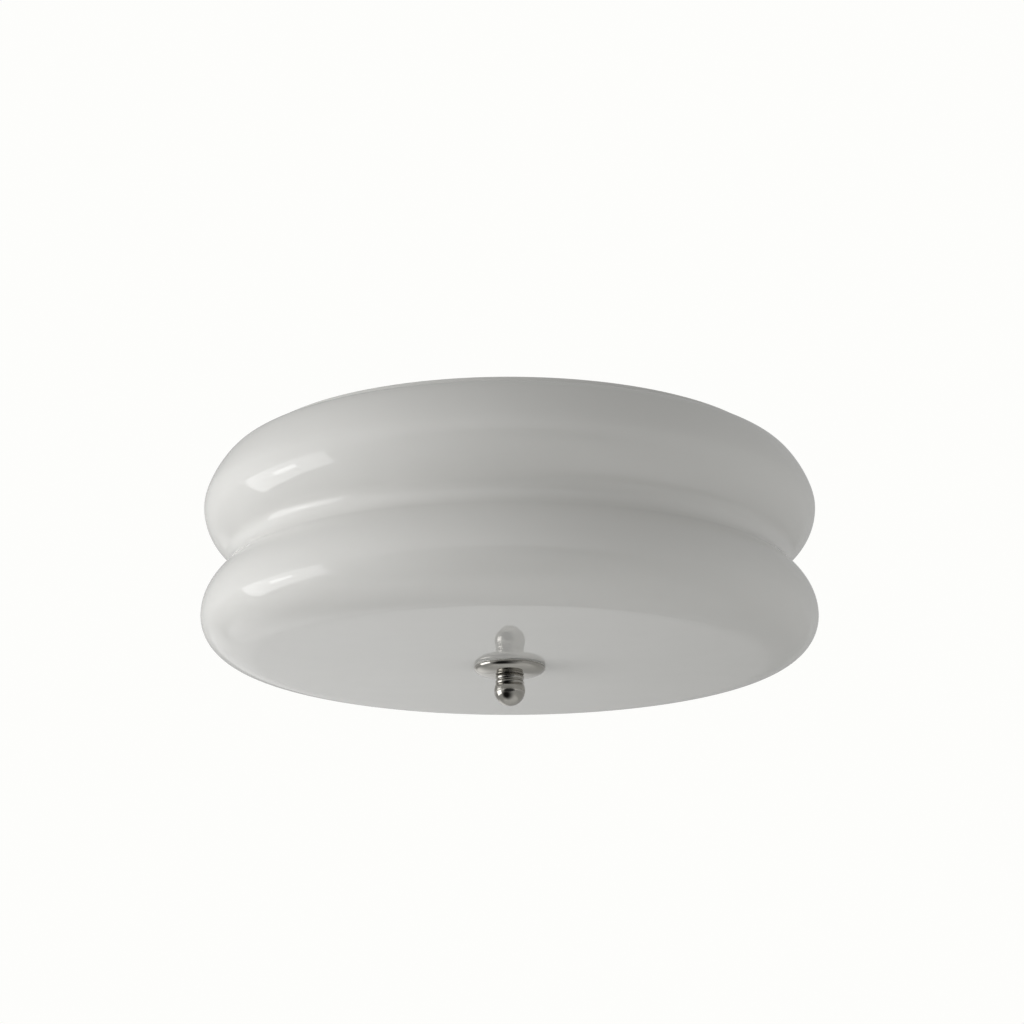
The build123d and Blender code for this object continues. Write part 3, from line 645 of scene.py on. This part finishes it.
# %% [markdown]
# ## The glass shade
# The glass is a blown shell about 3 mm thick. It is drawn as its outer face only, spun, and then
# given its wall, so that inside and outside stay parallel. The mouth and the hole are fire
# polished, which rounds their edges.

# %% Sizes of the glass
glass_wall = 3.0 * mm
neck = (155.6 * mm, -0.01 * mm)
neck_foot = (156.5 * mm, -5.0 * mm)
neck_foot_rounding = 1.5 * mm
neck_flare = 0.2 * mm
corner_handle = 0.5 * mm
shoulder = (162.0 * mm, -5.0 * mm)
shoulder_fullness = 0.338  # how far a curve's handles reach towards its corner, from 0 to 1
upper_bulge = (178.34 * mm, -32.6 * mm)
upper_depth = 32.9 * mm
waist = (152.0 * mm, -63.0 * mm)
crease_radius = 9.0 * mm
lower_bulge = (178.0 * mm, -96.8 * mm)
lower_depth = 61.0 * mm
base = (144.4 * mm, -121.8 * mm)
base_fullness = 0.589
base_rings = 12
glass_hole = 7.0 * mm
polished_edge = 1.2 * mm
print("glass is", round(2 * upper_bulge[0] / mm, 1), "mm wide")

# %% [markdown]
# ### Outline and wall
# The outline runs from the mouth down and round to the hole. The flat underside is split into
# rings, so that its faces stay small enough to shade evenly.

# %% Glass shade
shoulder_curve = falling_quarter(shoulder, upper_bulge, shoulder_fullness)
upper_arc = bulge_arc(upper_bulge, upper_depth, waist)
lower_arc = bulge_arc(lower_bulge, lower_depth, waist)[::-1]
crease = soft_crease(upper_arc, lower_arc, crease_radius)
base_curve = turning_under(lower_bulge, base, base_fullness)
corner_start = (neck_foot[0] - neck_flare, neck_foot[1] + neck_foot_rounding)
hollow_corner = curve_between(
    corner_start, (neck_foot[0], neck_foot[1] + corner_handle),
    (neck_foot[0] + corner_handle, neck_foot[1]),
    (neck_foot[0] + neck_foot_rounding, neck_foot[1]), points=6)
flat_base = [(base[0] * k / base_rings, base[1]) for k in range(base_rings - 1, 0, -1)]
shade_outline = (
    [neck, corner_start] + hollow_corner + [shoulder] + shoulder_curve + crease[1:-1]
    + [lower_bulge] + base_curve + flat_base + [(glass_hole, base[1])]
)
shade = turn_on_lathe("blown_glass_shade", shade_outline, steps=240)
give_thickness(shade, glass_wall)
round_edges(shade, polished_edge, sharper_than=70.0, segments=3)
smooth(shade, below=60.0)
dress(shade, opal_glass, "shade", "glass_shade")

# %% [markdown]
# ## Check ring
# The check ring is a shallow saucer of spun sheet. Its edge is rolled over, which stiffens it and
# gives the thin bright line round the saucer in the photograph. It is drawn from inside the roll
# over the edge and down to the hole for the rod.

# %% Check ring
ring_top = -122.4 * mm
ring_radius = 20.7 * mm
ring_seat = (8.0 * mm, -127.8 * mm)
ring_hole = 5.3 * mm
ring_fullness = 0.62
ring_sheet = 0.5 * mm
ring_edge = 0.08 * mm
roll_radius = 0.6 * mm
roll_start = 1.15 * pi

roll_middle = (ring_radius - roll_radius, ring_top - roll_radius)
roll = circle_arc(roll_middle, roll_radius, roll_start, 0.0, steps=10)
saucer = turning_under(roll[-1], ring_seat, ring_fullness, points=18)
ring = turn_on_lathe("spun_check_ring", roll + saucer + [(ring_hole, ring_seat[1])], steps=120)
give_thickness(ring, ring_sheet)
round_edges(ring, ring_edge, sharper_than=60.0)
smooth(ring, below=50.0)
dress(ring, polished_nickel, "check_ring", "check_ring")

# %% [markdown]
# ## Finial
# The finial is turned in one piece: two beads with a groove between them and a ball below. It is
# bored from above for the centre rod. The tool leaves small breaks on the beads' edges, which
# catch the light, so those edges are beveled.

# %% Finial
finial_top = -127.9 * mm
bead_height = 2.3 * mm
bead_bulge = 0.4 * mm
bead_edge = 7.9 * mm
bead_steps = 8
groove_radius = 7.5 * mm
groove_height = 0.5 * mm
ball_radius = 8.94 * mm
ball_z = -136.5 * mm
rod_bore = 5.05 * mm
bore_floor = finial_top - 13.0 * mm
drill_point = 1.5 * mm
bore_chamfer = 0.6 * mm
tool_break = 0.12 * mm


def bead(top):
    """Rounded bead edge from its top to its bottom, drawn as a flat arc."""
    made = []
    for k in range(bead_steps + 1):
        across = 2 * k / bead_steps - 1
        made.append((bead_edge + bead_bulge * (1 - across * across),
                     top - bead_height * k / bead_steps))
    return made


second_bead_top = finial_top - bead_height - groove_height
second_bead_bottom = second_bead_top - bead_height
ball_turn = atan2(sqrt(ball_radius ** 2 - groove_radius ** 2), groove_radius)
ball_curve = circle_arc((0.0, ball_z), ball_radius, ball_turn, -pi / 2, steps=30)
finial_outline = (
    [(0.0, bore_floor - drill_point), (rod_bore, bore_floor),
     (rod_bore, finial_top - bore_chamfer), (rod_bore + bore_chamfer, finial_top)]
    + bead(finial_top) + [(groove_radius, finial_top - bead_height)]
    + [(groove_radius, second_bead_top)] + bead(second_bead_top)
    + [(groove_radius, second_bead_bottom)] + ball_curve[:-1] + [(0.0, ball_z - ball_radius)]
)
knob = turn_on_lathe("turned_finial", finial_outline, steps=96)
round_edges(knob, tool_break, sharper_than=40.0)
smooth(knob, below=40.0)
dress(knob, polished_nickel, "finial", "finial")

# %% [markdown]
# ## Threads
# A thread is one pitch of its outline, wound round the axis as it climbs. A stack of rings would
# be quicker and would look alike from far away, but a real thread runs on from turn to turn and
# ends somewhere, which shows as soon as the finial or a bulb is off. The winding is made a little
# too long and then cut square at both ends.

# %% Thread helper
round_form = [(0.5 - 0.5 * cos(2 * pi * k / 10), k / 10) for k in range(11)]
sharp_form = [(0.0, 0.0), (0.0, 0.15), (1.0, 0.53), (1.0, 0.62), (0.0, 1.0)]
spare_below = 1.5  # turns
spare_turns = 4


def cut_square(piece, height, keep_above):
    """Cut a piece at a height and close the cut."""
    bpy.ops.object.mode_set(mode="EDIT")
    bpy.ops.mesh.select_all(action="SELECT")
    bpy.ops.mesh.bisect(
        plane_co=(0.0, 0.0, height), plane_no=(0.0, 0.0, 1.0), use_fill=True,
        clear_inner=keep_above, clear_outer=not keep_above, threshold=0.1 * weld_gap)
    bpy.ops.object.mode_set(mode="OBJECT")


def wind_thread(name, root, crest, pitch, bottom, top, steps=32, form=sharp_form,
                smooth_below=25.0, wall=0.0):
    """Thread between two heights on the Z axis, as a solid screw or as a thin pressed wall."""
    start = bottom - spare_below * pitch
    piece = draw_outline(name, [(root + (crest - root) * rise, start + pitch * along)
                                for rise, along in form])
    bpy.ops.object.mode_set(mode="OBJECT")
    winding = piece.modifiers.new("winding", "SCREW")
    winding.angle = 2 * pi
    winding.screw_offset = pitch
    winding.iterations = int((top - bottom) / pitch) + spare_turns
    winding.steps = steps
    winding.render_steps = steps
    apply_modifiers(piece)
    weld(piece)
    if wall:
        give_thickness(piece, wall)
    cut_square(piece, bottom, keep_above=True)
    cut_square(piece, top, keep_above=False)
    smooth(piece, smooth_below)
    return piece


# %% [markdown]
# ### Cutting one solid with another
# Drilled holes, driver slots and turned corners are cut with a second solid, as a drill or a
# lathe tool would. The exact solver takes longer than the fast one, but it also copes with the
# many thin faces of a thread.

# %% Cutting helpers
def cut_with(piece, tool, operation="DIFFERENCE"):
    """Take one solid out of another, or keep what both share, and delete the tool."""
    cut = piece.modifiers.new("cut", "BOOLEAN")
    cut.operation = operation
    cut.solver = "EXACT"
    cut.object = tool
    apply_modifiers(piece)
    bpy.data.objects.remove(tool)


def bore(piece, radius, middle, depth):
    """Round hole on the Z axis."""
    bpy.ops.object.select_all(action="DESELECT")
    bpy.ops.mesh.primitive_cylinder_add(
        vertices=40, radius=radius, depth=depth, location=(0.0, 0.0, middle))
    cut_with(piece, bpy.context.object)


# %% [markdown]
# ## Centre rod
# The rod is lamp tube: an M10 x 1 thread from end to end with a bore for a lead. The rod nuts,
# the bracket and the finial all go on the same thread. A smooth tube was the other choice, and
# it would look wrong as soon as the glass comes down.

# %% Centre rod
rod_top = -15.0 * mm
rod_bottom = -138.4 * mm
rod_crest = 4.98 * mm
rod_root = 4.46 * mm
rod_pitch = 1.0 * mm
tube_bore = 3.3 * mm

rod = wind_thread("threaded_centre_rod", rod_root, rod_crest, rod_pitch, rod_bottom, rod_top)
bore(rod, tube_bore, middle=0.5 * (rod_top + rod_bottom), depth=1.2 * (rod_top - rod_bottom))
dress(rod, brass, "ceiling_assembly", "centre_rod")

# %% [markdown]
# ## Bulbs
# Each bulb is four pieces: the blown envelope, the screw cap of thin sheet with its round E27
# thread, a black glass insulator and a soldered tip. They are made once, upright at the origin,
# and then copied and laid along the three lamp axes. Making the first one in place would mean
# tilted outlines, which are harder to check. A length that ends in _s is measured along that
# axis, from the face of the lampholder's tab.

# %% Laying a piece along a lamp's axis
lamp_angles = (90.0, 210.0, 330.0)
lamp_height = -66.0 * mm
axis_start = 13.5 * mm


def lay_on_axis(piece, angle):
    """Turn an upright piece so that its Z axis points outwards from the rod, and move it there."""
    place = (axis_start * cos(radians(angle)), axis_start * sin(radians(angle)), lamp_height)
    return move(piece, place, (0.0, pi / 2, radians(angle)))


def one_per_lamp(model, material, node_name, body=None):
    """Lay a copy of a piece on each lamp's axis, and the piece itself on the last one."""
    name = model.name
    for number, angle in enumerate(lamp_angles, start=1):
        piece = model if number == len(lamp_angles) else copy_of(model)
        piece.name = f"{name}_{number}"
        lay_on_axis(piece, angle)
        dress(piece, material, body or f"bulb_{number}", f"{node_name}_{number}")


def outline_above(floor_height, *points):
    """Outline of (radius, height) pairs in millimetres, with the heights above a floor."""
    return [(radius * mm, floor_height + height * mm) for radius, height in points]


# %% [markdown]
# ### Bulb envelope
# The envelope is blown: a ball that runs into a neck through a soft hollow curve. Its outline is
# an arc of the neck's hollow that touches the ball's circle, so no kink shows where they meet. A
# sphere stuck on a tube would leave such a kink.

# %% Bulb envelope
tip_s = 13.1 * mm
crown_s = 91.1 * mm
bulb_radius = 22.5 * mm
bulb_neck = 12.6 * mm
neck_start_s = 36.5 * mm
neck_end_s = 42.0 * mm
envelope_wall = 1.0 * mm

ball_middle_s = crown_s - bulb_radius
reach = ball_middle_s - neck_end_s
hollow = (reach ** 2 - bulb_radius ** 2 + bulb_neck ** 2) / (2 * (bulb_radius - bulb_neck))
touch_turn = atan2(reach, bulb_neck + hollow)
hollow_curve = circle_arc(
    (bulb_neck + hollow, neck_end_s), hollow, pi, pi - touch_turn, steps=14)
crown_curve = circle_arc((0.0, ball_middle_s), bulb_radius, -touch_turn, pi / 2, steps=30)
envelope_outline = [(bulb_neck, neck_start_s)] + hollow_curve + crown_curve[1:-1] + [(0.0, crown_s)]
envelope = turn_on_lathe("blown_envelope", envelope_outline, steps=72, smooth_below=40.0)
give_thickness(envelope, envelope_wall)
one_per_lamp(envelope, bulb_glass, "bulb_glass")

# %% [markdown]
# ### Bulb cap
# The cap is a cup of thin aluminium with the round thread rolled into it. Below the thread its
# wall draws in to hold the insulator, and above it a plain collar takes the glass. The thread is
# wound and the two plain ends are turned, because a spin alone would give rings, not a thread.

# %% Bulb cap
cap_crest = 13.12 * mm
cap_root = 12.15 * mm
edison_pitch = 3.629 * mm
cap_start_s = 18.5 * mm
thread_start_s = 20.0 * mm
thread_end_s = 36.6 * mm
cap_sheet = 0.35 * mm
round_thread = {"steps": 64, "form": round_form, "smooth_below": 35.0}

cap_thread = wind_thread("rolled_screw_cap", cap_root, cap_crest, edison_pitch,
                         thread_start_s, thread_end_s, wall=cap_sheet, **round_thread)
cap_foot = turn_on_lathe("cap_foot", outline_above(
    cap_start_s, (11.2, 0.0), (11.7, 0.0), (12.3, 0.5), (12.55, 1.5), (12.55, 1.9)), steps=64)
give_thickness(cap_foot, cap_sheet)
cap_collar = turn_on_lathe("cap_collar", outline_above(
    thread_end_s, (12.5, -0.4), (12.5, 0.1), (13.0, 0.8), (13.0, 2.3), (13.1, 2.6), (13.1, 2.9)),
    steps=64)
give_thickness(cap_collar, cap_sheet)
cap = join(cap_thread, cap_foot, cap_collar)
one_per_lamp(cap, bulb_cap_alloy, "bulb_cap")

# %% [markdown]
# ### Bulb insulator and tip
# The insulator is black glass poured into the cap's end, and the tip is a drop of solder on it.
# Both are solid turned shapes. The drop is drawn flat and round edged, as solder sets.

# %% Bulb insulator and tip
insulator = turn_on_lathe("glass_insulator", outline_above(
    tip_s, (0.0, 1.0), (5.2, 1.0), (5.5, 1.15), (9.6, 4.1), (10.9, 4.8), (11.4, 5.3), (11.4, 5.4),
    (0.0, 5.4)), steps=56)
one_per_lamp(insulator, black_glass, "bulb_insulator")
solder_tip = turn_on_lathe("solder_tip", outline_above(
    tip_s, (0.0, 0.0), (2.0, 0.04), (3.4, 0.2), (4.2, 0.55), (4.4, 1.0), (0.0, 1.0)),
    steps=40, smooth_below=60.0)
one_per_lamp(solder_tip, tin, "bulb_contact")

# %% [markdown]
# ## Sleeves of the lampholders
# The brass sleeve in each lampholder is pressed with the same round thread as the bulb's cap, a
# little wider. Its free edge is plain, so that the cap finds its way in.

# %% Lampholder sleeves
sleeve_crest = 14.15 * mm
sleeve_root = 13.55 * mm
sleeve_start_s = 11.0 * mm
sleeve_thread_s = 38.5 * mm
sleeve_sheet = 0.08 * mm
sleeve_edge_sheet = 0.3 * mm

sleeve_thread = wind_thread("pressed_sleeve", sleeve_root, sleeve_crest, edison_pitch,
                            sleeve_start_s, sleeve_thread_s, wall=sleeve_sheet, **round_thread)
sleeve_edge = turn_on_lathe("sleeve_edge", outline_above(
    sleeve_thread_s, (13.85, -0.3), (14.15, 0.4), (14.15, 2.5)), steps=64)
give_thickness(sleeve_edge, sleeve_edge_sheet)
sleeve = join(sleeve_thread, sleeve_edge)
one_per_lamp(sleeve, brass, "lampholder_sleeve", body="ceiling_assembly")

# %% [markdown]
# ## Fasteners
# Screws and nuts are small, but they are what a hand meets when the light comes apart. A hexagon
# nut is a six sided block whose corners are turned off on a lathe, so it is cut with the same
# double cone here. A screw's head is turned and its cross or slot is sunk into it. Bevels could
# stand in for the turned corners, but they run straight where the real ones are curved.

# %% Nut helper
turned_face = 0.96  # flat end of a nut, as a share of the width across its flats
turned_slope = 0.577  # rise of the turned corners for their way outwards, which is 30 degrees
beyond_corners = 0.1 * mm


def hexagon_nut(name, flats, height, floor_height, hole):
    """Hexagon nut with turned corners, standing on a given height."""
    middle = floor_height + height / 2
    corner_radius = flats / cos(pi / 6) / 2
    face_radius = turned_face * flats / 2
    bpy.ops.object.select_all(action="DESELECT")
    bpy.ops.mesh.primitive_cylinder_add(
        vertices=6, radius=corner_radius, depth=height, location=(0.0, 0.0, middle))
    nut = bpy.context.object
    nut.name = name
    bpy.ops.object.transform_apply(location=True, rotation=False, scale=False)
    low, high = floor_height, floor_height + height
    turned_off = (corner_radius - face_radius) * turned_slope
    outer = corner_radius + beyond_corners
    limits = turn_on_lathe(f"{name}_limits", [
        (0.0, low), (face_radius, low), (outer, low + turned_off),
        (outer, high - turned_off), (face_radius, high), (0.0, high)], steps=48)
    cut_with(nut, limits, "INTERSECT")
    bore(nut, hole, middle, depth=3 * height)
    smooth(nut, below=25.0)
    return nut


# %% [markdown]
# ### Screws
# A head is drawn from its top down in shares of its own size, so that one curve serves every
# screw. A cross is two slots sunk at right angles.

# %% Screw helpers
head_form = ((0.0, 1.0), (0.35, 0.985), (0.62, 0.9), (0.84, 0.72), (0.96, 0.48), (1.0, 0.2),
             (1.0, 0.0), (0.0, 0.0))
thread_depth = 0.6  # share of the pitch
thread_play = 0.01 * mm
m4_thread = (2.0 * mm, 0.7 * mm)
m3_thread = (1.5 * mm, 0.5 * mm)


def turned_screw(name, head, thread, length, drive, cross=True):
    """Screw with its head standing on height 0 and its thread below.

    Head is (radius, height), thread (radius, pitch) and drive (width, length, depth).
    """
    head_radius, head_height = head
    thread_radius, pitch = thread
    outline = [(head_radius * across, head_height * up) for across, up in head_form]
    screw = turn_on_lathe(name, outline, steps=48, smooth_below=40.0)
    slot_width, slot_length, slot_depth = drive
    for turn in (0.0, pi / 2) if cross else (0.0,):
        bpy.ops.object.select_all(action="DESELECT")
        bpy.ops.mesh.primitive_cube_add(
            size=1.0, location=(0.0, 0.0, head_height), rotation=(0.0, 0.0, turn),
            scale=(slot_length, slot_width, 2 * slot_depth))
        cut_with(screw, bpy.context.object)
    shank = wind_thread(f"{name}_thread", thread_radius - thread_depth * pitch,
                        thread_radius - thread_play, pitch, -length, 0.0, steps=24)
    return join(screw, shank)


def set_down(piece, place, upside_down, turn=0.0):
    """Move an upright piece to its place, upright or upside down."""
    return move(piece, place, (pi if upside_down else 0.0, 0.0, turn))


def set_down_pair(piece, name, place, turns, upside_down=False):
    """Set a piece down on the right and a copy of it in the same place on the left."""
    x, y, z = place
    twin = copy_of(piece)
    pair = join(set_down(piece, place, upside_down, turns[0]),
                set_down(twin, (-x, y, z), upside_down, turns[1]))
    pair.name = name
    return pair


# %% [markdown]
# ### Pan screws and their cap nuts
# Two M4 screws hang down from the ends of the ceiling bracket, and a domed nut on each holds the
# pan. A cap nut is pressed from one piece, a hexagon that runs into a dome, and here it is the
# cut hexagon and a turned dome in one object.

# %% Pan screws and their cap nuts
pan_screw_x = 55.5 * mm
strap_end = -4.0 * mm
pan_screw_end = -33.0 * mm
pan_face = -24.0 * mm
cap_nut_end = -36.0 * mm
cap_flats = 10.0 * mm
cap_hexagon = 4.0 * mm
m4_hole = 2.05 * mm

pan_screw = turned_screw("pan_screw", head=(3.9 * mm, 2.6 * mm), thread=m4_thread,
                         length=strap_end - pan_screw_end, drive=(0.8 * mm, 4.2 * mm, 1.5 * mm))
pan_screw_pair = set_down_pair(
    pan_screw, "pan_screw_pair", (pan_screw_x, 0.0, strap_end), turns=(0.4, 1.1))
dress(pan_screw_pair, zinc_steel, "ceiling_assembly", "pan_screws")

cap_nut = hexagon_nut("cap_nut", cap_flats, cap_hexagon, pan_face - cap_hexagon, m4_hole)
dome = turn_on_lathe("cap_nut_dome", outline_above(
    cap_nut_end, (2.05, 8.0), (4.4, 8.0), (4.4, 3.6), (4.25, 2.4), (3.75, 1.3), (2.85, 0.5),
    (1.6, 0.1), (0.0, 0.0), (0.0, 2.5), (2.05, 2.5)), steps=48, smooth_below=45.0)
cap_nut_pair = set_down_pair(
    join(cap_nut, dome), "cap_nut_pair", (pan_screw_x, 0.0, 0.0), turns=(0.0, 0.3))
dress(cap_nut_pair, polished_nickel, "ceiling_assembly", "cap_nuts")

# %% [markdown]
# ### Rod nuts
# Two thin hexagon nuts hold the rod: one above the pan and one below the lampholder bracket,
# which lies under the pan. Both are made where they sit, as they are round the same axis.

# %% Rod nuts
rod_nut_flats = 14.0 * mm
rod_nut_height = 4.0 * mm
rod_nut_hole = 5.05 * mm
upper_nut_floor = -22.0 * mm
lower_nut_floor = -30.5 * mm

upper_nut = hexagon_nut(
    "rod_nut_pair", rod_nut_flats, rod_nut_height, upper_nut_floor, rod_nut_hole)
lower_nut = hexagon_nut(
    "lower_rod_nut", rod_nut_flats, rod_nut_height, lower_nut_floor, rod_nut_hole)
dress(join(upper_nut, lower_nut), zinc_steel, "ceiling_assembly", "rod_nuts")

# %% [markdown]
# ### Lampholder screws
# Each lampholder is held by two small screws through its tab. They are turned upright, set down
# beside the axis and then laid along it, the same way as the bulbs.

# %% Lampholder screws
holder_screw_offset = 11.0 * mm
tab_face_s = -1.5 * mm
holder_screws = None
for angle in lamp_angles:
    for side in (-1, 1):
        screw = turned_screw("holder_screw", head=(2.75 * mm, 1.8 * mm), thread=m3_thread,
                             length=8.0 * mm, drive=(0.6 * mm, 3.0 * mm, 1.0 * mm))
        set_down(screw, (-side * holder_screw_offset, 0.0, tab_face_s), upside_down=True)
        lay_on_axis(screw, angle)
        holder_screws = join(holder_screws, screw) if holder_screws else screw
holder_screws.name = "holder_screw_set"
dress(holder_screws, zinc_steel, "ceiling_assembly", "lampholder_screws")

# %% [markdown]
# ### Earth screw and block screws
# The green earth screw has a wide head for a wire to be clamped under. Two small screws hold the
# terminal block on the pan. All three have a slot in place of a cross, because the screws of a
# terminal are made for a flat driver.

# %% Earth screw and block screws
earth_place = (14.0 * mm, 5.5 * mm, -2.8 * mm)
block_screw_place = (5.0 * mm, -62.0 * mm, -32.0 * mm)

earth_screw = turned_screw("earth_ground_screw", head=(3.8 * mm, 2.6 * mm), thread=m4_thread,
                           length=2.8 * mm, drive=(0.9 * mm, 8.0 * mm, 1.0 * mm), cross=False)
set_down(earth_screw, earth_place, upside_down=True, turn=0.5)
dress(earth_screw, earth_green, "ceiling_assembly", "earth_screw")

block_screw = turned_screw("block_screw", head=(2.7 * mm, 1.5 * mm), thread=m3_thread,
                           length=10.0 * mm, drive=(0.7 * mm, 6.0 * mm, 0.7 * mm), cross=False)
block_screw_pair = set_down_pair(
    block_screw, "block_screw_pair", block_screw_place, turns=(0.9, 0.2), upside_down=True)
dress(block_screw_pair, zinc_steel, "ceiling_assembly", "block_screws")

# %% [markdown]
# ## End of the build

# %% Finish
import json
